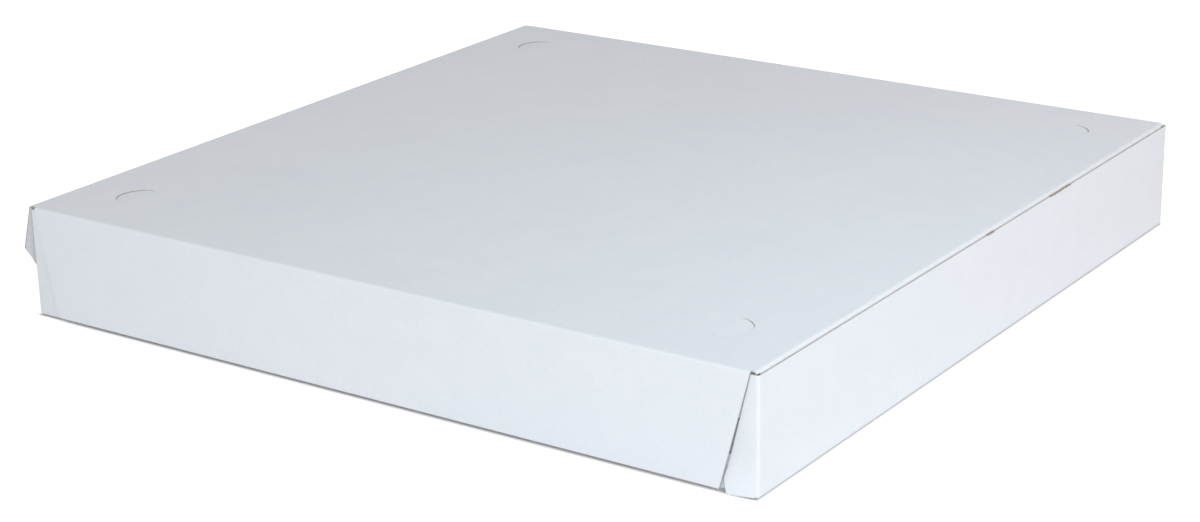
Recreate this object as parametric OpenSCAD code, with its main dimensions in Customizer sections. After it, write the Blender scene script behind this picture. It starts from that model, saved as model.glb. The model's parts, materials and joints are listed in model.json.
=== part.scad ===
// Folded paperboard pizza box, closed: a lock-corner tray whose back wall carries the lid on a crease.
// The lid's front flap and left dust flap hang outside the tray, and its right dust flap is tucked inside.
// The origin is at the middle of the tray's underside, with X to the right, Y to the back and Z up.

/* [Board] */
// Thickness of the paperboard
board = 0.6; // [0.4:0.05:0.9]
// Inside radius of every crease
crease_in = 0.7; // [0.6:0.05:1.2]
// Play between layers of board that lie side by side
play = 0.3; // [0.2:0.05:0.4]
// Distance by which the front and back creases stop short of the tray's sides
crease_inset = 3.3; // [3:0.1:6]

/* [Tray] */
// Width of the tray over its side walls
tray_w = 357; // [250:1:460]
// Depth of the tray over its corner tabs
tray_d = 357; // [250:1:460]
// Height of the side walls and the front wall
tray_h = 47; // [42:0.5:70]

/* [Corner tabs] */
// Width of a corner tab at its top
tab_top = 3.3; // [2.5:0.1:3.6]
// Width of a corner tab above the cut at its foot
tab_foot = 13.5; // [12:0.1:14]
// Height of the tab's lower end above the ground
tab_rise = 0.4; // [0.1:0.1:1]
// Height of the top of the cut at the tab's foot
tab_cut_h = 6; // [3:0.5:10]
// Width of the cut at the tab's foot
tab_cut_w = 1.5; // [0.5:0.1:3]
// Height of the tongue that locks a tab to its wall
tongue_h = 14; // [8:1:18]
// Height of the middle of the tongue above the ground
tongue_z = 22; // [18:1:26]
// Length of the tongue behind the wall
tongue_reach = 7; // [4:0.5:12]

/* [Lid] */
// Gap between the top of the tray's walls and the lid
lid_gap = 0.7; // [0.7:0.1:1.5]
// Radius of a half-moon vent
vent_r = 10; // [6:0.5:18]
// Width of the cut round a vent
vent_cut = 0.5; // [0.3:0.1:1]
// Distance of a vent's straight side from the lid's side edge
vent_side = 32.5; // [25:0.5:60]
// Distance of a vent's middle from the lid's front or back edge
vent_end = 34; // [25:0.5:60]

/* [Front flap] */
// Height of the front flap's lower edge above the ground
flap_rise = 1.9; // [0.5:0.1:12]
// Narrowing of the front flap at each end, from its crease to its lower edge
flap_taper = 11.4; // [9:0.1:20]
// Lean of the front flap away from the tray, in degrees
flap_lean = 2.5; // [2:0.1:8]

/* [Dust flaps] */
// Length of a dust flap below the top of the lid
dust_l = 33.5; // [26:0.5:38]
// Length of the square part of a dust flap's ends
dust_square = 20.5; // [10:0.5:24]
// Length of the slanting cut at each lower corner, along the flap's lower edge
dust_cut = 8.5; // [4:0.5:20]
// Distance of the tucked dust flap's ends from the lid's front and back edges
dust_inset = 3.6; // [3.3:0.1:6]
// Lean of the left dust flap away from the tray, in degrees
dust_lean = 12; // [2:0.5:20]

/* [Hidden] */
$fn = 48;
coat_white = "#dfe5ec";
half_w = tray_w / 2;
half_d = tray_d / 2;
crease_out = crease_in + board;
layer = board + play;
// Length by which a fold's leg runs on over the panel that it belongs to
lap = 2 * crease_out;
// Offset of each half of a hinged crease from the mitre between them
mitre = play * sqrt(1 / 2);
// Outer face of the front and back walls, which stand inside the corner tabs
wall_y = half_d - layer;
// Half of the length of the front and back creases
crease_half = half_w - crease_inset;
// Top of the lid
lid_z = tray_h + lid_gap + board;
// Outer edges of the lid: the right flap is inside the tray, the left and front flaps are outside
lid_right = half_w - layer;
lid_left = half_w + layer;
lid_front = half_d + layer;
lid_back = wall_y;
lid_mid = (lid_back - lid_front) / 2;
// Half of the lid's depth between its creases, and of the tucked dust flap's length
panel_half = (lid_back + lid_front) / 2 - crease_out;
dust_half = (lid_back + lid_front) / 2 - dust_inset;
flap_l = (lid_z - flap_rise) / cos(flap_lean);
tongue_low = tongue_z - tongue_h / 2;
tongue_top = tongue_z + tongue_h / 2;
// Run of the tongue from the outer to the inner side of the wall, at 45 degrees
tongue_run = 2 * layer;

// Slant of a corner tab's free edge
tab_slant = atan((tab_foot - tab_top) / (tray_h - tab_cut_h));

// Width of a corner tab at a height above the ground
function tab_width(z) = tab_top + (tab_foot - tab_top) * (tray_h - z) / (tray_h - tab_cut_h);

// Sweeps a section along X or Y, with the section's second axis upright
module along_x(length) {
  rotate([90, 0, 90]) linear_extrude(length, center = true) children();
}

module along_y(length) {
  rotate([90, 0, 0]) linear_extrude(length, center = true) children();
}

// The area left of and below the origin, with its corner rounded
module rounded_quarter(reach, radius) {
  translate([-reach, -reach]) square([reach - radius, reach]);
  translate([-reach, -reach]) square([reach, reach - radius]);
  translate([-radius, -radius]) circle(radius);
}

// Section of board folded square, with its outer corner at the origin and its legs along -X and -Y
module fold_section(leg_x, leg_y) {
  reach = max(leg_x, leg_y) + lap;
  intersection() {
    difference() {
      rounded_quarter(reach, crease_out);
      translate([-board, -board]) rounded_quarter(reach, crease_in);
    }
    translate([-leg_x, -leg_y]) square([leg_x, leg_y]);
  }
}

// The half of a hinged crease on its -X leg, which opens at the mitre
module half_fold_section(leg) {
  intersection() {
    fold_section(leg, leg);
    polygon([[-mitre, 0], [-leg, 0], [-leg, mitre - leg]]);
  }
}

// The half of a hinged crease on its -Y leg
module hanging_half_section(leg) {
  mirror([1, -1]) half_fold_section(leg);
}

// Corner fold, tapered tab and lock tongue at the right end of the back wall
module corner_tab() {
  translate([half_w, half_d, tab_rise])
    linear_extrude(tray_h - tab_rise) fold_section(tab_top, crease_out + play);
  translate([half_w, half_d, 0]) rotate([90, 0, 0]) linear_extrude(board)
    polygon([[-crease_out, tab_rise], [-crease_out, tray_h], [-tab_top, tray_h],
             [-tab_foot, tab_cut_h], [tab_cut_w - tab_foot, tab_rise]]);
  along_tab_edge(tongue_low, tongue_top) tongue_section();
}

// Runs a section along the tab's slanting free edge, between two heights
module along_tab_edge(low, high) {
  intersection() {
    translate([half_w - tab_width(low), half_d, low])
      rotate([0, tab_slant, 0]) linear_extrude(4 * (high - low), center = true) children();
    translate([0, 0, low]) cube([half_w, half_d + lap, high - low]);
  }
}

// The tongue seen along the tab's edge: it bends in there, through the wall and along the wall's inner face
module tongue_section() {
  tip = tongue_run + tongue_reach;
  polygon([[board, 0], [0, 0], [-tongue_run, -tongue_run], [-tip, -tongue_run],
           [-tip, -tongue_run - board], [-tongue_run, -tongue_run - board], [0, -board], [board, -board]]);
}

// Slot for the right-hand tongue of the back wall
module tongue_slot() {
  along_tab_edge(tongue_low - play, tongue_top + play)
    translate([-tongue_run, -2 * lap]) square([tongue_run, 3 * lap]);
}

// Right side wall with its bottom fold, run on at both ends to the corner folds
module side_wall() {
  translate([half_w, 0, 0])
    along_y(2 * (wall_y - crease_out)) mirror([0, 1]) fold_section(lap, tray_h);
  translate([half_w - board, crease_out - half_d, crease_out])
    cube([board, 2 * (half_d - crease_out), tray_h - crease_out]);
}

// Back wall or, mirrored, front wall, with its bottom fold
module end_wall(height) {
  difference() {
    translate([0, wall_y, 0])
      along_x(2 * (half_w - crease_out)) mirror([0, 1]) fold_section(lap, height);
    for (side = [0, 1])
      mirror([side, 0, 0]) tongue_slot();
  }
}

module tray() {
  color(coat_white) union() {
    translate([crease_out - half_w, crease_out - wall_y, 0])
      cube([2 * (half_w - crease_out), 2 * (wall_y - crease_out), board]);
    for (side = [0, 1])
      mirror([side, 0, 0]) {
        side_wall();
        for (end = [0, 1])
          mirror([0, end, 0]) corner_tab();
      }
    mirror([0, 1, 0]) end_wall(tray_h);
    end_wall(lid_z - crease_out);
    translate([0, wall_y, lid_z])
      along_x(2 * crease_half) hanging_half_section(crease_out + lap);
  }
}

// Half-moon cut of a vent, bulging towards +X
module vent_slit() {
  reach = vent_r + vent_cut;
  translate([0, 0, -lap]) linear_extrude(2 * lap) intersection() {
    difference() {
      circle(vent_r + vent_cut / 2);
      circle(vent_r - vent_cut / 2);
    }
    translate([0, -reach]) square([reach, 2 * reach]);
  }
}

// Dust flap below a right-hand crease, with its outer face in the plane X = 0 and its crease at the origin
module dust_panel(half) {
  translate([-board, 0, 0]) rotate([90, 0, 90]) linear_extrude(board)
    polygon([[-half, -crease_out], [half, -crease_out], [half, -dust_square],
             [half - dust_cut, -dust_l], [dust_cut - half, -dust_l], [-half, -dust_square]]);
}

module lid() {
  color(coat_white) difference() {
    union() {
      translate([crease_out - lid_left, crease_out - lid_front, lid_z - board])
        cube([lid_left + lid_right - 2 * crease_out, lid_back + lid_front - 2 * crease_out, board]);
      translate([0, lid_back, lid_z])
        along_x(2 * crease_half) half_fold_section(crease_out + lap);
      translate([0, -lid_front, lid_z]) mirror([0, 1, 0])
        along_x(2 * crease_half) half_fold_section(crease_out + lap);
      translate([-lid_left, lid_mid, lid_z]) mirror([1, 0, 0])
        along_y(2 * panel_half) half_fold_section(crease_out + lap);
      // The right crease runs out over the tops of the walls, and its flap fits between them
      translate([lid_right, lid_mid, lid_z]) {
        along_y(2 * panel_half) fold_section(crease_out + lap, board + lid_gap - play);
        along_y(2 * dust_half) fold_section(crease_out + lap, crease_out + lap);
        dust_panel(dust_half);
      }
    }
    for (end_y = [lid_back - vent_end, vent_end - lid_front]) {
      translate([lid_right - vent_side, end_y, lid_z]) vent_slit();
      translate([vent_side - lid_left, end_y, lid_z]) mirror([1, 0, 0]) vent_slit();
    }
  }
}

// Tapered flap that hangs in front of the tray, with its slanting ends beside those of the corner tabs
module front_flap() {
  foot_half = crease_half - flap_taper;
  color(coat_white) translate([0, -lid_front, lid_z])
    rotate([-flap_lean, 0, 0]) mirror([0, 1, 0]) union() {
      along_x(2 * crease_half) hanging_half_section(crease_out + board);
      rotate([90, 0, 0]) linear_extrude(board)
        polygon([[-crease_half, -crease_out], [crease_half, -crease_out],
                 [foot_half, -flap_l], [-foot_half, -flap_l]]);
    }
}

// Dust flap that hangs loose outside the tray's left wall
module left_dust_flap() {
  color(coat_white) translate([-lid_left, lid_mid, lid_z])
    rotate([0, dust_lean, 0]) mirror([1, 0, 0]) union() {
      along_y(2 * panel_half) hanging_half_section(crease_out + lap);
      dust_panel(panel_half);
    }
}

tray();
lid();
front_flap();
left_dust_flap();
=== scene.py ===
"""Closed pizza box of folded clay-coated paperboard, dressed over its solids, in metres."""

import json
import math

import bmesh
import bpy
from mathutils import Matrix, Vector


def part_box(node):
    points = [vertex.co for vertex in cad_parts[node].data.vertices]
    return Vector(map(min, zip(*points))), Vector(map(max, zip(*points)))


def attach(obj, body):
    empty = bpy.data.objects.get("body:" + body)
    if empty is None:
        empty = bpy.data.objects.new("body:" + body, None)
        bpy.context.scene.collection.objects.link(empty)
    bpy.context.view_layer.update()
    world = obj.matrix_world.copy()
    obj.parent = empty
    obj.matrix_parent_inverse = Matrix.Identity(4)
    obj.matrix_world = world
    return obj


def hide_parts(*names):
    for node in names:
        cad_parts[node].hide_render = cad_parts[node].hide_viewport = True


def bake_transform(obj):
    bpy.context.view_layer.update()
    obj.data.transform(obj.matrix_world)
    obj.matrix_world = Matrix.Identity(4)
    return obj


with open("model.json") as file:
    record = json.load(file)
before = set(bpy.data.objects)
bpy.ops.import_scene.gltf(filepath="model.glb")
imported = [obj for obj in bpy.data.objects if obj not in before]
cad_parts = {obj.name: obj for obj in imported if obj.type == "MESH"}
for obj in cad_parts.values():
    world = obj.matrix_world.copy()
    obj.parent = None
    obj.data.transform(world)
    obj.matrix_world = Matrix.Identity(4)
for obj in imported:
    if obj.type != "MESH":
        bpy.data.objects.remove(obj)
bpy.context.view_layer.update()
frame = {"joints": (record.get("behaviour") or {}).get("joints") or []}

bl_info = {
    "name": "Folded Pizza Box",
    "version": (1, 0, 0),
    "blender": (4, 5, 0),
    "location": "View3D > Sidebar > Pizza Box",
    "description": "Folds a lock-corner pizza box from clay-coated paperboard",
    "category": "Mesh",
}

MM = 0.001
NEAR = 0.02 * MM  # what lies this close is at the same place
QUARTER = math.pi / 2
# A hinged crease starts and ends its bend this far out and down from the end of its flat strip.
BEND = (0.3 * MM, 1.0 * MM)
# The right crease rounds over this far at its full length, and the rest only where its dust flap is.
ROUND_RIGHT, REST_RIGHT = math.radians(75), math.radians(15)
SLOT_PLAY = 0.3 * MM  # play of a lock tongue in its slot
BLADE = 3 * MM  # how far the vents' blades reach above and below the lid
NICKS = ((66 * MM, 20 * MM), (1 * MM, 6 * MM))  # place along the right wall and length of each torn nick
NICK_RISE = 0.1 * MM  # height of the torn skin over the wall's edge
NICK_LAP = ((0.06 * MM, 0, -0.2 * MM), (0.02 * MM, 0, -0.15 * MM))  # how the skin laps over the wall's face
NICK_SKIN = 0.15 * MM  # thickness of the torn skin
FRAY = 0.2 * MM  # how far the torn fibres stray
FLOOR_DROP = 0.2 * MM  # the floor lies just under the tray, so that their faces don't meet


def hinge(name):
    """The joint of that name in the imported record."""
    return next(j for j in frame["joints"] if j["name"] == name)


# The frame gives the outer faces of the box, the crease lines and how far each flap leans at rest.
HALF_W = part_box("tray")[1].x
HALF_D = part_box("tray")[1].y
WALL_Y, LID_Z = hinge("lid_hinge")["pos_m"][1:]
LID_FRONT = -hinge("front_flap_hinge")["pos_m"][1]
LID_LEFT = -hinge("left_dust_flap_hinge")["pos_m"][0]
LID_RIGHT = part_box("lid")[1].x
FRONT_LEAN = QUARTER - math.radians(hinge("front_flap_hinge")["range_deg"][1])
LEFT_LEAN = QUARTER - math.radians(hinge("left_dust_flap_hinge")["range_deg"][1])


def linear(code):
    """Linear colour of an sRGB hex value."""
    parts = [int(code[i:i + 2], 16) / 255 for i in (1, 3, 5)]
    return tuple(c / 12.92 if c <= 0.04045 else ((c + 0.055) / 1.055) ** 2.4 for c in parts)


def length(name, description, millimetres):
    """A length property, in metres."""
    return bpy.props.FloatProperty(
        name=name, description=description, default=millimetres * MM, min=0.0, unit="LENGTH", precision=5)


def colour(name, description, code):
    """A colour property, from an sRGB hex value."""
    return bpy.props.FloatVectorProperty(
        name=name, description=description, default=linear(code), min=0.0, max=1.0, subtype="COLOR")


class PizzaBoxSizes(bpy.types.PropertyGroup):
    """Sizes of the folded board."""

    board: length("Board", "Thickness of the paperboard", 0.6)
    crease: length("Crease", "Outer radius of a crease", 1.3)
    margin: length("Margin", "Flat strip of the lid that goes with a hinged crease", 1.5)
    wall: length("Wall", "Height of the tray's walls", 47.0)
    tab_top: length("Tab top", "Width of a corner tab at its top", 3.3)
    tab_foot: length("Tab foot", "Width of a corner tab above the cut at its foot", 13.5)
    tab_rise: length("Tab rise", "Height of a corner tab's lower end", 0.4)
    tab_cut_h: length("Tab cut height", "Height of the top of the cut at a tab's foot", 6.0)
    tab_cut_w: length("Tab cut width", "Width of the cut at a tab's foot", 1.5)
    tab_flare: length("Tab flare", "How far the right front tab's lower corner curls out", 2.2)
    tongue_low: length("Tongue low", "Height of a lock tongue's lower side", 15.0)
    tongue_top: length("Tongue top", "Height of a lock tongue's upper side", 29.0)
    tongue_reach: length("Tongue reach", "Length of a lock tongue behind the wall", 7.0)
    crease_inset: length("Crease inset", "How far the front and back creases stop short of the sides", 3.3)
    vent_r: length("Vent radius", "Radius of a half-moon vent", 10.0)
    vent_cut: length("Vent cut", "Width of the cut round a vent", 0.15)
    vent_press: length("Vent press", "How far a vent's round edge is pressed in", 0.5)
    vent_side: length("Vent side", "Distance of a vent's straight side from the lid's side", 32.5)
    vent_end: length("Vent end", "Distance of a vent's middle from the lid's front or back", 34.0)
    flap_rise: length("Flap rise", "Height of the front flap's lower edge", 1.9)
    flap_taper: length("Flap taper", "Narrowing of the front flap at each end", 11.4)
    dust_l: length("Dust flap", "Length of a dust flap", 33.5)
    dust_square: length("Dust flap square", "Length of the square part of a dust flap's ends", 20.5)
    dust_cut: length("Dust flap cut", "Slanting cut at a dust flap's lower corners", 8.5)
    dust_curl: length("Dust flap curl", "How far the front end of the hanging dust flap springs out", 1.2)
    dust_inset: length("Dust flap inset", "Distance of the tucked dust flap's ends from the lid's edges", 3.6)


class PizzaBoxColours(bpy.types.PropertyGroup):
    """Colours of the board and its cut edges."""

    coat: colour("Coating", "Clay coating on the outer side", "#ECF1F6")
    coat_shade: colour("Coating shade", "Thin places in the coating", "#E8EDF3")
    inside: colour("Inside", "Uncoated inner side", "#EEF0F3")
    inside_fleck: colour("Inside fleck", "Flecks in the uncoated side", "#DDDCD9")
    core: colour("Core", "Core of the board at a cut edge", "#C6C1BA")
    core_dark: colour("Core dark", "Crushed fibres at a cut edge", "#A8A198")
    torn: colour("Torn fibre", "Torn fibres at a nick", "#B79B80")
    floor: colour("Floor", "Pale studio floor", "#F2F2F2")


class PizzaBoxStage(bpy.types.PropertyGroup):
    """Light and camera of the studio."""

    azimuth: bpy.props.FloatProperty(
        name="Azimuth", description="Camera's turn to the right", default=math.radians(34.775), subtype="ANGLE")
    elevation: bpy.props.FloatProperty(
        name="Elevation", description="Camera's height", default=math.radians(19.423), subtype="ANGLE")
    roll: bpy.props.FloatProperty(
        name="Roll", description="Camera's roll", default=math.radians(-1.142), subtype="ANGLE")
    distance: length("Distance", "Camera's distance from its target", 1087.1)
    target: bpy.props.FloatVectorProperty(
        name="Target", description="Point that the camera looks at",
        default=(0.02656, -0.05469, 0.02415), subtype="TRANSLATION", unit="LENGTH")
    lens: bpy.props.FloatProperty(
        name="Lens", description="Focal length over a 36 mm sensor", default=78.09, unit="CAMERA")
    ambient: bpy.props.FloatProperty(
        name="Ambient", description="Strength of the even studio light", default=0.49)
    right: bpy.props.FloatProperty(
        name="Right", description="Softbox to the right, in watts", default=1.62, unit="POWER")
    front: bpy.props.FloatProperty(
        name="Front", description="Softbox beside the camera, in watts", default=15.2, unit="POWER")
    top: bpy.props.FloatProperty(
        name="Top", description="Small softbox over the lid's front right, in watts", default=0.38,
        unit="POWER")


# Modelling by hand: the sheet is always the outer face of the board, and gets its thickness at the end.

def start_sheet(name, low, high, z):
    """A flat rectangle of board between two corners, left in edit mode."""
    bpy.ops.object.select_all(action="DESELECT")
    bpy.ops.mesh.primitive_plane_add(size=1.0, location=(0, 0, 0))
    sheet = bpy.context.active_object
    sheet.name = sheet.data.name = name
    bpy.ops.object.mode_set(mode="EDIT")
    bpy.ops.transform.resize(value=(high[0] - low[0], high[1] - low[1], 1.0))
    bpy.ops.transform.translate(value=((low[0] + high[0]) / 2, (low[1] + high[1]) / 2, z))
    return sheet


def pick(kind, test):
    """Selects the vertices, edges or faces whose middle passes the test."""
    bpy.ops.mesh.select_mode(type=kind)
    bpy.ops.mesh.select_all(action="DESELECT")
    data = bpy.context.active_object.data
    mesh = bmesh.from_edit_mesh(data)
    found = 0
    for item in {"VERT": mesh.verts, "EDGE": mesh.edges, "FACE": mesh.faces}[kind]:
        if kind == "VERT":
            middle = item.co
        elif kind == "EDGE":
            middle = (item.verts[0].co + item.verts[1].co) / 2
        else:
            middle = item.calc_center_median()
        if test(middle, item):
            item.select_set(True)
            found += 1
    mesh.select_flush_mode()
    bmesh.update_edit_mesh(data)
    if not found:
        raise RuntimeError(f"nothing to pick on {bpy.context.active_object.name}")


def rim(axis, value, *ranges):
    """Test for free edges at a place along an axis, within ranges along others: (axis, low, high)."""
    def test(middle, item):
        inside = all(low - NEAR < middle[other] < high + NEAR for other, low, high in ranges)
        return item.is_boundary and abs(middle[axis] - value) < NEAR and inside
    return test


def fold(centre, axis, angle, steps=6):
    """Turns the picked edge round a crease, right-handed about the axis."""
    bpy.ops.mesh.spin(steps=steps, angle=-angle, center=centre, axis=axis)


def run_on(*moves):
    """Runs the picked edge on, one panel after another."""
    for move in moves:
        bpy.ops.mesh.extrude_edges_move(TRANSFORM_OT_translate={"value": move})


def cut(point, normal, clear=False):
    """Scores the picked part along a plane, or cuts off what lies in front of it."""
    bpy.ops.mesh.bisect(
        plane_co=point, plane_no=Vector(normal).normalized(), clear_outer=clear, threshold=0.1 * NEAR)


def finish_modifier(kind, **settings):
    """Adds a modifier to the active piece and applies it."""
    made = bpy.context.active_object.modifiers.new(kind.title(), kind)
    for key, value in settings.items():
        setattr(made, key, value)
    bpy.ops.object.modifier_apply(modifier=made.name)


def face_out(outside):
    """Makes the sheet's faces agree, so that the face nearest to the given point looks at it."""
    bpy.ops.mesh.select_all(action="SELECT")
    bpy.ops.mesh.remove_doubles(threshold=0.5 * NEAR)
    bpy.ops.mesh.normals_make_consistent(inside=False)
    mesh = bmesh.from_edit_mesh(bpy.context.active_object.data)
    nearest = min(mesh.faces, key=lambda f: (f.calc_center_median() - outside).length)
    if nearest.normal.dot(outside - nearest.calc_center_median()) < 0:
        bpy.ops.mesh.flip_normals()


def give_board(sheet, sizes):
    """Gives the sheet the board's thickness and its three finishes: outside, inside and cut edge."""
    bpy.ops.object.mode_set(mode="OBJECT")
    sheet.data.materials.clear()
    for make in (clay_coated_board, uncoated_board, die_cut_edge):
        sheet.data.materials.append(make(bpy.context.scene.pizza_box_colours))
    finish_modifier("SOLIDIFY", thickness=sizes.board, offset=-1.0, use_even_offset=True,
                    material_offset=1, material_offset_rim=2)


def smooth(sheet):
    """Shades the creases round and keeps the cut edges sharp."""
    bpy.ops.object.select_all(action="DESELECT")
    sheet.select_set(True)
    bpy.context.view_layer.objects.active = sheet
    bpy.ops.object.shade_smooth_by_angle(angle=math.radians(32))


# Finishes

def per(millimetres):
    """Scale of a pattern whose lumps are about that many millimetres across."""
    return 1 / (millimetres * MM)


def opaque(rgb):
    """An opaque colour, for a colour socket."""
    return (*rgb, 1.0)


def add(tree, kind, inputs=None, **settings):
    """Adds a shader node with its settings, and sets its inputs or links them to a socket or a node."""
    node = tree.nodes.new("ShaderNode" + kind)
    for key, value in settings.items():
        setattr(node, key, value)
    for key, value in (inputs or {}).items():
        if isinstance(value, bpy.types.Node):
            value = next(socket for socket in value.outputs if socket.enabled)
        if isinstance(value, bpy.types.NodeSocket):
            tree.links.new(value, node.inputs[key])
        else:
            node.inputs[key].default_value = value
    return node


def new_finish(name):
    """An empty material and its node tree, or the one already made and no tree."""
    found = bpy.data.materials.get(name)
    if found:
        return found, None
    made = bpy.data.materials.new(name)
    made.use_nodes = True
    made.node_tree.nodes.clear()
    return made, made.node_tree


def clay_coated_board(colours):
    """Calendered clay coating on bleached board: a clean cool white with a soft sheen, faintly clouded."""
    made, tree = new_finish("clay_coated_board")
    if tree is None:
        return made
    place = add(tree, "TexCoord").outputs["Object"]
    cloud = add(tree, "TexNoise", {"Vector": place, "Scale": per(14), "Detail": 3})
    smudge = add(tree, "TexNoise", {"Vector": place, "Scale": per(70), "Detail": 2})
    swell = add(tree, "TexNoise", {"Vector": place, "Scale": per(24), "Detail": 2})
    # The tooth of the real coating is finer than a pixel, so it is drawn as coarse as it needs to show.
    tooth = add(tree, "TexNoise", {"Vector": place, "Scale": per(1.4), "Detail": 3, "Roughness": 0.6})
    thin = add(tree, "MapRange", {"Value": cloud, "From Min": 0.35, "From Max": 0.65, "To Max": 0.4})
    worn = add(tree, "MapRange", {"Value": smudge, "From Min": 0.4, "From Max": 0.65, "To Max": 0.25})
    rough = add(tree, "MapRange", {
        "Value": tooth, "From Min": 0.3, "From Max": 0.7, "To Min": -0.2, "To Max": 0.6})
    clouds = add(tree, "Math", {0: thin, 1: worn}, operation="ADD")
    share = add(tree, "Math", {0: clouds, 1: rough}, operation="ADD")
    coat = add(tree, "Mix", {
        0: share, 6: opaque(colours.coat), 7: opaque(colours.coat_shade)}, data_type="RGBA")
    fine = add(tree, "Bump", {"Strength": 0.3, "Distance": 0.06 * MM, "Height": tooth})
    wave = add(tree, "Bump", {"Strength": 0.12, "Distance": 0.12 * MM, "Height": swell, "Normal": fine})
    matt = add(tree, "MapRange", {
        "Value": tooth, "From Min": 0.3, "From Max": 0.7, "To Min": 0.6, "To Max": 0.7})
    shader = add(tree, "BsdfPrincipled", {
        "Base Color": coat, "Roughness": matt, "Specular IOR Level": 0.25, "Normal": wave})
    add(tree, "OutputMaterial", {"Surface": shader})
    return made


def uncoated_board(colours):
    """Uncoated side of the board: a duller white with short fibres and flecks."""
    made, tree = new_finish("uncoated_board")
    if tree is None:
        return made
    place = add(tree, "TexCoord").outputs["Object"]
    grain = add(tree, "Mapping", {"Vector": place, "Scale": (1, 3, 1)}, vector_type="TEXTURE")
    fibre = add(tree, "TexNoise", {"Vector": grain, "Scale": per(1.1), "Detail": 5, "Roughness": 0.65})
    fleck = add(tree, "TexNoise", {"Vector": place, "Scale": per(1.6), "Detail": 2})
    dull = add(tree, "MapRange", {"Value": fibre, "From Min": 0.35, "From Max": 0.7, "To Max": 0.35})
    spot = add(tree, "MapRange", {"Value": fleck, "From Min": 0.72, "From Max": 0.78, "To Max": 0.8})
    plain = add(tree, "Mix", {
        0: dull, 6: opaque(colours.inside), 7: opaque(colours.inside_fleck)}, data_type="RGBA")
    flecked = add(tree, "Mix", {0: spot, 6: plain, 7: opaque(colours.inside_fleck)}, data_type="RGBA")
    matt = add(tree, "MapRange", {
        "Value": fibre, "From Min": 0.3, "From Max": 0.7, "To Min": 0.82, "To Max": 0.92})
    bump = add(tree, "Bump", {"Strength": 0.3, "Distance": 0.05 * MM, "Height": fibre})
    shader = add(tree, "BsdfPrincipled", {"Base Color": flecked, "Roughness": matt, "Normal": bump})
    add(tree, "OutputMaterial", {"Surface": shader})
    return made


def die_cut_edge(colours):
    """Die-cut edge of the board: crushed tan fibres between the two white faces."""
    made, tree = new_finish("die_cut_edge")
    if tree is None:
        return made
    place = add(tree, "TexCoord").outputs["Object"]
    fibre = add(tree, "TexNoise", {"Vector": place, "Scale": per(0.5), "Detail": 4, "Roughness": 0.7})
    patch = add(tree, "TexNoise", {"Vector": place, "Scale": per(9), "Detail": 2})
    crushed = add(tree, "MapRange", {"Value": fibre, "From Min": 0.35, "From Max": 0.7, "To Max": 0.6})
    soiled = add(tree, "MapRange", {"Value": patch, "From Min": 0.35, "From Max": 0.65, "To Max": 0.4})
    share = add(tree, "Math", {0: crushed, 1: soiled}, operation="ADD")
    core = add(tree, "Mix", {0: share, 6: opaque(colours.core), 7: opaque(colours.core_dark)}, data_type="RGBA")
    matt = add(tree, "MapRange", {
        "Value": fibre, "From Min": 0.3, "From Max": 0.7, "To Min": 0.85, "To Max": 0.95})
    bump = add(tree, "Bump", {"Strength": 0.6, "Distance": 0.08 * MM, "Height": fibre})
    shader = add(tree, "BsdfPrincipled", {"Base Color": core, "Roughness": matt, "Normal": bump})
    add(tree, "OutputMaterial", {"Surface": shader})
    return made


def torn_fibre(colours):
    """Torn fibres where the blank was held by a nick: tan, matt and ragged."""
    made, tree = new_finish("torn_fibre")
    if tree is None:
        return made
    place = add(tree, "TexCoord").outputs["Object"]
    fibre = add(tree, "TexNoise", {"Vector": place, "Scale": per(0.7), "Detail": 5, "Roughness": 0.7})
    share = add(tree, "MapRange", {"Value": fibre, "From Min": 0.3, "From Max": 0.7})
    torn = add(tree, "Mix", {0: share, 6: opaque(colours.core_dark), 7: opaque(colours.torn)}, data_type="RGBA")
    matt = add(tree, "MapRange", {
        "Value": fibre, "From Min": 0.3, "From Max": 0.7, "To Min": 0.88, "To Max": 0.96})
    bump = add(tree, "Bump", {"Strength": 0.8, "Distance": 0.12 * MM, "Height": fibre})
    shader = add(tree, "BsdfPrincipled", {"Base Color": torn, "Roughness": matt, "Normal": bump})
    add(tree, "OutputMaterial", {"Surface": shader})
    return made


# Pieces

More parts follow.
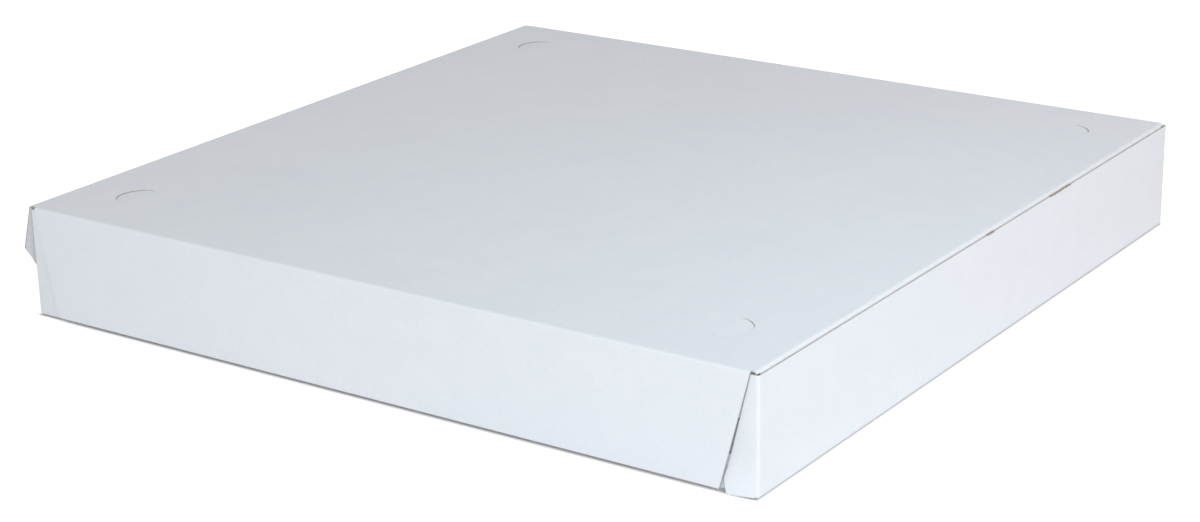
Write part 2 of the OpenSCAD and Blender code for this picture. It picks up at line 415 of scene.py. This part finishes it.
class PIZZABOX_OT_tray(bpy.types.Operator):
    """Folds the tray: bottom, walls, corner tabs, lock tongues and their slots"""

    bl_idname = "pizza_box.tray"
    bl_label = "Fold Tray"

    def execute(self, context):
        s = context.scene.pizza_box_sizes
        c = s.crease
        w, d = HALF_W - c, WALL_Y - c
        gap = SLOT_PLAY
        step = 2 * (HALF_D - WALL_Y)
        # A tab's free edge slants. Its tongue bends in there, through a slot of the same slant.
        edge = Vector((HALF_W - s.tab_top, 0, s.wall))
        off = Vector((s.tab_cut_h - s.wall, 0, s.tab_foot - s.tab_top)).normalized()
        # The front right quarter of the tray is folded up, then mirrored twice.
        sheet = start_sheet("tray_sheet", (0, -d), (w, 0), 0)
        pick("EDGE", rim(1, -d))
        fold((0, -d, c), (1, 0, 0), -QUARTER)
        run_on((0, 0, s.tongue_low - gap - c), (0, 0, s.tongue_top - s.tongue_low + 2 * gap),
               (0, 0, s.wall - s.tongue_top - gap))
        pick("EDGE", rim(0, w, (2, 0, 0)))
        fold((w, 0, c), (0, 1, 0), -QUARTER)
        # The side wall goes up in short steps, so that its tab can curl.
        heights = (c, 3 * MM, s.tab_cut_h, 10 * MM, s.tongue_low, 22 * MM, s.tongue_top, 38 * MM, s.wall)
        run_on(*[(0, 0, b - a) for a, b in zip(heights, heights[1:])])
        # The lock slot is punched out of the front wall.
        band = lambda m, f: m.y < NEAR - WALL_Y and s.tongue_low - gap < m.z < s.tongue_top + gap
        for place in (edge, edge + step * off):
            pick("FACE", band)
            cut(place, off)
        pick("FACE", lambda m, f: band(m, f) and 0 < (m - edge).dot(off) < step)
        bpy.ops.mesh.delete(type="FACE")
        # The side wall and its bottom fold run on round the corner, and the wall into its tab.
        pick("EDGE", lambda m, e: rim(1, -d)(m, e) and m.x > w)
        run_on((0, d + c - HALF_D, 0))
        pick("EDGE", rim(1, c - HALF_D, (0, w, HALF_W), (2, 0, s.wall)))
        fold((w, c - HALF_D, 0), (0, 0, 1), -QUARTER)
        pick("EDGE", rim(0, w, (1, -HALF_D, -HALF_D), (2, c, s.wall)))
        run_on(*[((c - s.tab_foot) / 4, 0, 0)] * 4)
        pick("EDGE", rim(2, c, (1, -HALF_D, -HALF_D)))
        run_on((0, 0, s.tab_rise - c))
        # The tab is cut to its taper and clipped at its foot.
        tab = lambda m, f: m.y < NEAR - HALF_D and m.x < w
        pick("FACE", tab)
        cut(edge, off, clear=True)
        pick("FACE", tab)
        cut((HALF_W - s.tab_foot, 0, s.tab_cut_h), (s.tab_rise - s.tab_cut_h, 0, -s.tab_cut_w), clear=True)
        # The tongue steps through the slot and lies along the wall's inner face.
        pick("EDGE", lambda m, e: e.is_boundary and m.y < NEAR - HALF_D and s.tongue_low < m.z < s.tongue_top)
        run_on((-step, step, 0), (-s.tongue_reach, 0, 0))
        bpy.ops.object.mode_set(mode="OBJECT")
        finish_modifier("MIRROR", use_axis=(True, True, False), merge_threshold=NEAR)
        bpy.ops.object.mode_set(mode="EDIT")
        face_out(Vector((0, 0, -1)))
        # The free lower corner of the right front tab curls out a little.
        pick("VERT", lambda m, v: m.y < NEAR - HALF_D and m.z < s.tab_rise + NEAR
             and abs(m.x - HALF_W + s.tab_foot - s.tab_cut_w) < NEAR)
        bpy.ops.transform.translate(
            value=(0, -s.tab_flare, 0), use_proportional_edit=True, use_proportional_connected=True,
            proportional_edit_falloff="SMOOTH", proportional_size=s.tab_foot)
        give_board(sheet, s)
        smooth(sheet)
        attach(sheet, "tray")
        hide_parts("tray")
        return {"FINISHED"}


class PIZZABOX_OT_lid(bpy.types.Operator):
    """Folds the lid panel with its tucked right dust flap and cuts its half-moon vents"""

    bl_idname = "pizza_box.lid"
    bl_label = "Fold Lid"

    def execute(self, context):
        s = context.scene.pizza_box_sizes
        c = s.crease
        right, left = LID_RIGHT - c, LID_LEFT - c - s.margin
        front, back = LID_FRONT - c - s.margin, WALL_Y - c - s.margin
        ends = HALF_W - s.crease_inset
        near, far = s.dust_inset - LID_FRONT, WALL_Y - s.dust_inset
        sheet = start_sheet("lid_sheet", (-left, -front), (right, back), LID_Z)
        for x in (ends, -ends, LID_RIGHT - s.vent_side, s.vent_side - LID_LEFT):
            bpy.ops.mesh.select_all(action="SELECT")
            cut((x, 0, 0), (1, 0, 0))
        for y in (near, far):
            bpy.ops.mesh.select_all(action="SELECT")
            cut((0, y, 0), (0, 1, 0))
        # The corners run out beside the hinged creases.
        for y, move in ((-front, -s.margin), (back, s.margin)):
            pick("EDGE", lambda m, e: rim(1, y)(m, e) and abs(m.x) > ends)
            run_on((0, move, 0))
        # The right crease is nearly as long as the lid, and its dust flap goes down inside the wall.
        pick("EDGE", rim(0, right))
        fold((right, 0, LID_Z - c), (0, 1, 0), ROUND_RIGHT, 5)
        pick("EDGE", lambda m, e: e.is_boundary and m.x > LID_RIGHT - 5 * NEAR and near < m.y < far)
        fold((right, 0, LID_Z - c), (0, 1, 0), REST_RIGHT, 1)
        run_on((0, 0, c - s.dust_square), (0, 0, s.dust_square - s.dust_l))
        half = (far - near) / 2
        bpy.ops.transform.resize(value=(1, 1 - s.dust_cut / half, 1), center_override=(0, (near + far) / 2, 0))
        face_out(Vector((0, 0, 1)))
        give_board(sheet, s)
        self.cut_vents(sheet, s)
        smooth(sheet)
        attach(sheet, "lid")
        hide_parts("lid")
        return {"FINISHED"}

    def cut_vents(self, sheet, s):
        """Cuts the four half-moon slits with curved blades and presses the vents in on their straight sides."""
        blades, places = [], []
        for side in (1, -1):
            x = LID_RIGHT - s.vent_side if side > 0 else s.vent_side - LID_LEFT
            for y in (WALL_Y - s.vent_end, s.vent_end - LID_FRONT):
                places.append((side, x, y))
                bpy.ops.object.select_all(action="DESELECT")
                bpy.ops.mesh.primitive_circle_add(vertices=64, radius=s.vent_r, location=(x, y, LID_Z - BLADE))
                blade = bpy.context.active_object
                bpy.ops.object.transform_apply(location=True)
                bpy.ops.object.mode_set(mode="EDIT")
                bpy.ops.mesh.select_all(action="SELECT")
                cut((x, 0, 0), (-side, 0, 0), clear=True)
                bpy.ops.mesh.select_all(action="SELECT")
                run_on((0, 0, 2 * BLADE))
                bpy.ops.object.mode_set(mode="OBJECT")
                for material in sheet.data.materials:
                    blade.data.materials.append(material)
                for face in blade.data.polygons:
                    face.material_index = 2
                finish_modifier("SOLIDIFY", thickness=s.vent_cut, offset=0.0)
                blades.append(blade)
        bpy.ops.object.select_all(action="DESELECT")
        for blade in blades:
            blade.select_set(True)
        bpy.context.view_layer.objects.active = blades[0]
        bpy.ops.object.join()
        blade = bpy.context.active_object
        bpy.ops.object.select_all(action="DESELECT")
        sheet.select_set(True)
        bpy.context.view_layer.objects.active = sheet
        finish_modifier("BOOLEAN", operation="DIFFERENCE", object=blade, solver="EXACT")
        bpy.data.objects.remove(blade)
        bpy.ops.object.mode_set(mode="EDIT")
        for side, x, y in places:
            pick("VERT", lambda m, v: side * (m.x - x) > NEAR and math.hypot(m.x - x, m.y - y) < s.vent_r)
            turn = math.asin(s.vent_press / s.vent_r)
            bpy.ops.transform.rotate(value=-side * turn, orient_axis="Y", center_override=(x, y, LID_Z))
        bpy.ops.object.mode_set(mode="OBJECT")


class PIZZABOX_OT_flaps(bpy.types.Operator):
    """Folds the front flap and the left dust flap down from the lid, each with its crease"""

    bl_idname = "pizza_box.flaps"
    bl_label = "Fold Flaps"

    def execute(self, context):
        s = context.scene.pizza_box_sizes
        c = s.crease
        # Front flap: a strip of the lid, the crease and the tapered panel that hangs in front of the tray.
        ends = HALF_W - s.crease_inset
        edge = LID_FRONT - c
        sheet = start_sheet("front_flap_sheet", (-ends, -edge), (ends, s.margin - edge), LID_Z)
        pick("EDGE", rim(1, -edge))
        fold((0, -edge, LID_Z - c), (1, 0, 0), QUARTER - FRONT_LEAN)
        drop = LID_Z - c - s.flap_rise
        run_on((0, -drop * math.tan(FRONT_LEAN), -drop))
        bpy.ops.transform.resize(value=(1 - s.flap_taper / ends, 1, 1), center_override=(0, 0, 0))
        self.finish_flap(sheet, s, "front_flap", Vector((0, -1, 0)))
        # Left dust flap: the same on the left, with slanting lower corners.
        near, far = c - LID_FRONT, WALL_Y - c
        edge = LID_LEFT - c
        sheet = start_sheet("left_dust_flap_sheet", (-edge, near), (s.margin - edge, far), LID_Z)
        pick("EDGE", rim(0, -edge))
        fold((-edge, 0, LID_Z - c), (0, 1, 0), LEFT_LEAN - QUARTER)
        for drop in (s.dust_square - c, s.dust_l - s.dust_square):
            run_on((-drop * math.sin(LEFT_LEAN), 0, -drop * math.cos(LEFT_LEAN)))
        half = (far - near) / 2
        bpy.ops.transform.resize(value=(1, 1 - s.dust_cut / half, 1), center_override=(0, (near + far) / 2, 0))
        # Its front end springs out a little.
        for k in range(1, 5):
            bpy.ops.mesh.select_all(action="SELECT")
            cut((0, near + k * s.dust_curl, 0), (0, 1, 0))
        pick("VERT", lambda m, v: abs(m.y - near) < NEAR and m.z < LID_Z - s.dust_square / 2)
        bpy.ops.transform.translate(
            value=(-s.dust_curl, 0, 0), use_proportional_edit=True, proportional_edit_falloff="SMOOTH",
            proportional_size=5 * s.dust_curl)
        self.finish_flap(sheet, s, "left_dust_flap", Vector((-1, 0, 0)))
        # Back crease: it joins the back wall to the lid.
        edge = WALL_Y - c
        sheet = start_sheet("back_crease", (-ends, edge - s.margin), (ends, edge), LID_Z)
        pick("EDGE", rim(1, edge))
        fold((0, edge, LID_Z - c), (1, 0, 0), -QUARTER)
        face_out(Vector((0, 1, 1)))
        give_board(sheet, s)
        smooth(sheet)
        near, far = BEND
        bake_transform(sheet)
        return {"FINISHED"}

    def finish_flap(self, sheet, s, node, out):
        """Gives a flap its thickness and round creases, and hides the part that it replaces."""
        face_out(out)
        give_board(sheet, s)
        smooth(sheet)
        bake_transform(sheet)
        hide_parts(node)


class PIZZABOX_OT_nicks(bpy.types.Operator):
    """Tears the ragged fibres at the nicks on the right wall's top edge"""

    bl_idname = "pizza_box.nicks"
    bl_label = "Tear Nicks"

    def execute(self, context):
        s = context.scene.pizza_box_sizes
        for number, (y, size) in enumerate(NICKS):
            low, high = (HALF_W - s.board, y - size / 2), (HALF_W, y + size / 2)
            sheet = start_sheet(f"torn_nick_{number}", low, high, s.wall + NICK_RISE)
            bpy.ops.mesh.select_all(action="SELECT")
            bpy.ops.mesh.subdivide(number_cuts=9)
            pick("EDGE", rim(0, HALF_W))
            run_on(*NICK_LAP)
            bpy.ops.mesh.select_all(action="SELECT")
            bpy.ops.transform.vertex_random(offset=FRAY, seed=number + 3)
            face_out(Vector((HALF_W, y, 1)))
            bpy.ops.object.mode_set(mode="OBJECT")
            sheet.data.materials.append(torn_fibre(context.scene.pizza_box_colours))
            finish_modifier("SOLIDIFY", thickness=NICK_SKIN, offset=0.0)
            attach(sheet, "tray")
        return {"FINISHED"}


class PIZZABOX_OT_stage(bpy.types.Operator):
    """Sets up the pale floor, the soft light and the camera"""

    bl_idname = "pizza_box.stage"
    bl_label = "Set Stage"

    def execute(self, context):
        scene = context.scene
        g = scene.pizza_box_stage
        scene.view_settings.view_transform = "Standard"
        bpy.ops.object.select_all(action="DESELECT")
        bpy.ops.mesh.primitive_plane_add(size=8.0, location=(0, 0, -FLOOR_DROP))
        floor = context.active_object
        floor.name = "floor"
        floor.data.materials.append(self.floor_finish(scene.pizza_box_colours))
        world = bpy.data.worlds.new("studio")
        scene.world = world
        world.use_nodes = True
        tree = world.node_tree
        tree.nodes.clear()
        even = add(tree, "Background", {"Color": opaque(linear("#FFFDFD")), "Strength": g.ambient})
        white = add(tree, "Background", {"Color": opaque(linear("#FFFFFF")), "Strength": 1.0})
        mixed = add(tree, "MixShader", {0: self.seen(tree), 1: even, 2: white})
        add(tree, "OutputWorld", {"Surface": mixed})
        self.lamp("right_softbox", (0.85, 0.1, 0.65), (0.1, 0.0, 0.05), (0.8, 0.6), g.right, "#FFE5DE")
        self.lamp("front_softbox", (1.1, -1.6, 0.62), (0.0, -0.1, 0.03), (0.9, 0.6), g.front, "#FDFEFF")
        self.lamp("top_softbox", (0.28, -0.14, 0.42), (0.16, -0.1, 0.05), (0.3, 0.3), g.top, "#D0F2FF")
        self.camera(scene, g)
        return {"FINISHED"}

    def seen(self, tree):
        """1 for what the camera sees, straight, mirrored or through glass."""
        path = add(tree, "LightPath").outputs
        either = add(tree, "Math", {0: path["Is Camera Ray"], 1: path["Is Glossy Ray"]}, operation="MAXIMUM")
        return add(tree, "Math", {0: either, 1: path["Is Transmission Ray"]}, operation="MAXIMUM")

    def glow_with_painted_contact_shadow(self, tree, place):
        """Glow of the sweep, with a painted contact shadow at the box: none under the box, so the floor is dark
        there, and all of it from 2 mm beside.
        """
        axes = add(tree, "SeparateXYZ", {0: place}).outputs
        outside = []
        for axis, half in (("X", HALF_W - 0.5 * MM), ("Y", HALF_D)):
            size = add(tree, "Math", {0: axes[axis]}, operation="ABSOLUTE")
            outside.append(add(tree, "Math", {0: size, 1: half}, operation="SUBTRACT"))
        most = add(tree, "Math", {0: outside[0], 1: outside[1]}, operation="MAXIMUM")
        return add(tree, "MapRange", {"Value": most, "From Max": 2 * MM, "To Max": 0.7})

    def floor_finish(self, colours):
        """Matt white sweep: it looks white, takes a soft shadow, has a painted contact shadow where its glow
        stops at the box, and throws even light back.
        """
        made, tree = new_finish("matt_white_sweep")
        place = add(tree, "TexCoord").outputs["Object"]
        tone = add(tree, "TexNoise", {"Vector": place, "Scale": per(300), "Detail": 2})
        share = add(tree, "MapRange", {"Value": tone, "From Min": 0.3, "From Max": 0.7, "To Max": 0.04})
        shade = add(tree, "Mix", {
            0: share, 6: opaque(colours.floor), 7: opaque(linear("#DADADA"))}, data_type="RGBA")
        plain = add(tree, "BsdfDiffuse", {"Color": shade})
        shadow = add(tree, "BsdfDiffuse", {"Color": opaque(linear("#EDEDED"))})
        # Painted shade: the glow fades out over 2 mm at the box's footprint, so the floor is darker under and
        # beside the box than its light makes it.
        glow = add(tree, "Emission", {
            "Color": opaque(linear("#FFFFFF")), "Strength": self.glow_with_painted_contact_shadow(tree, place)})
        lit = add(tree, "AddShader", {0: shadow, 1: glow})
        mixed = add(tree, "MixShader", {0: self.seen(tree), 1: plain, 2: lit})
        add(tree, "OutputMaterial", {"Surface": mixed})
        return made

    def lamp(self, name, place, aim, size, power, code):
        """A soft panel of light that points at a place."""
        data = bpy.data.lights.new(name, "AREA")
        data.shape = "RECTANGLE"
        data.size, data.size_y = size
        data.energy = power
        data.color = linear(code)
        made = bpy.data.objects.new(name, data)
        bpy.context.scene.collection.objects.link(made)
        made.location = place
        made.rotation_euler = (Vector(aim) - Vector(place)).to_track_quat("-Z", "Y").to_euler()

    def camera(self, scene, g):
        """The camera at the photograph's angle."""
        a, e, r = g.azimuth, g.elevation, g.roll
        back = Vector((math.sin(a) * math.cos(e), -math.cos(a) * math.cos(e), math.sin(e)))
        across = (-back).cross(Vector((0, 0, 1))).normalized()
        up = across.cross(-back)
        right = across * math.cos(r) + up * math.sin(r)
        top = up * math.cos(r) - across * math.sin(r)
        data = bpy.data.cameras.new("camera")
        data.sensor_width = 36.0
        data.lens = g.lens
        made = bpy.data.objects.new("camera", data)
        scene.collection.objects.link(made)
        turn = Matrix((right, top, back)).transposed().to_4x4()
        made.matrix_world = Matrix.Translation(Vector(g.target) + back * g.distance) @ turn
        scene.camera = made


class PIZZABOX_PT_panel(bpy.types.Panel):
    """Lists the steps that fold the box and set the stage"""

    bl_idname = "PIZZABOX_PT_panel"
    bl_label = "Pizza Box"
    bl_space_type = "VIEW_3D"
    bl_region_type = "UI"
    bl_category = "Pizza Box"

    def draw(self, context):
        for step in STEPS:
            self.layout.operator(step.bl_idname)
        for group in GROUPS:
            settings = getattr(context.scene, group)
            box = self.layout.box()
            for name in settings.bl_rna.properties.keys():
                if name not in ("rna_type", "name"):
                    box.prop(settings, name)


STEPS = (PIZZABOX_OT_tray, PIZZABOX_OT_lid, PIZZABOX_OT_flaps, PIZZABOX_OT_nicks, PIZZABOX_OT_stage)
GROUPS = {
    "pizza_box_sizes": PizzaBoxSizes,
    "pizza_box_colours": PizzaBoxColours,
    "pizza_box_stage": PizzaBoxStage,
}


def register():
    for item in (*GROUPS.values(), *STEPS, PIZZABOX_PT_panel):
        bpy.utils.register_class(item)
    for name, group in GROUPS.items():
        setattr(bpy.types.Scene, name, bpy.props.PointerProperty(type=group))


def unregister():
    for name in GROUPS:
        delattr(bpy.types.Scene, name)
    for item in reversed((*GROUPS.values(), *STEPS, PIZZABOX_PT_panel)):
        bpy.utils.unregister_class(item)


def main():
    register()
    bpy.ops.pizza_box.tray()
    bpy.ops.pizza_box.lid()
    bpy.ops.pizza_box.flaps()
    bpy.ops.pizza_box.nicks()
    bpy.ops.pizza_box.stage()


if __name__ == "__main__":
    main()
